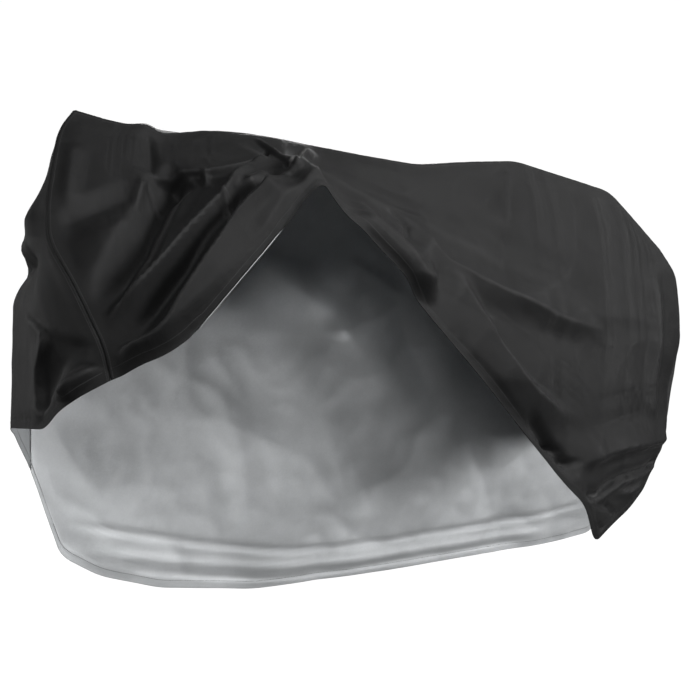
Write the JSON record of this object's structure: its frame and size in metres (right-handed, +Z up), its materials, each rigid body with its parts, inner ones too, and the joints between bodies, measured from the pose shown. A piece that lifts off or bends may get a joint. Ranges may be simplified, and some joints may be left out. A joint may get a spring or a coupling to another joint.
{
  "type": "bicycle cover",
  "caption": "Fitted cloth cover for bicycles standing side by side: black outside, silver inside, hung open over a hollow with its near side pulled up to the top.",
  "frame": {"origin": "the place under the middle of the top cloth where the cover is carried", "axes": "+X along the cover from its front end to its rear end, +Y from the near (lifted) side to the far side, +Z up"},
  "size_m": [1.8795, 0.7209, 1.1265],
  "materials": {
    "black_cloth": "satin coated woven cloth, black outside and silver-grey inside"
  },
  "bodies": {
    "root": {"near_side_panel": "black_cloth", "far_side_panel": "black_cloth", "top_strip": "black_cloth", "front_end_panel": "black_cloth", "rear_end_panel": "black_cloth"}
  },
  "joints": []
}
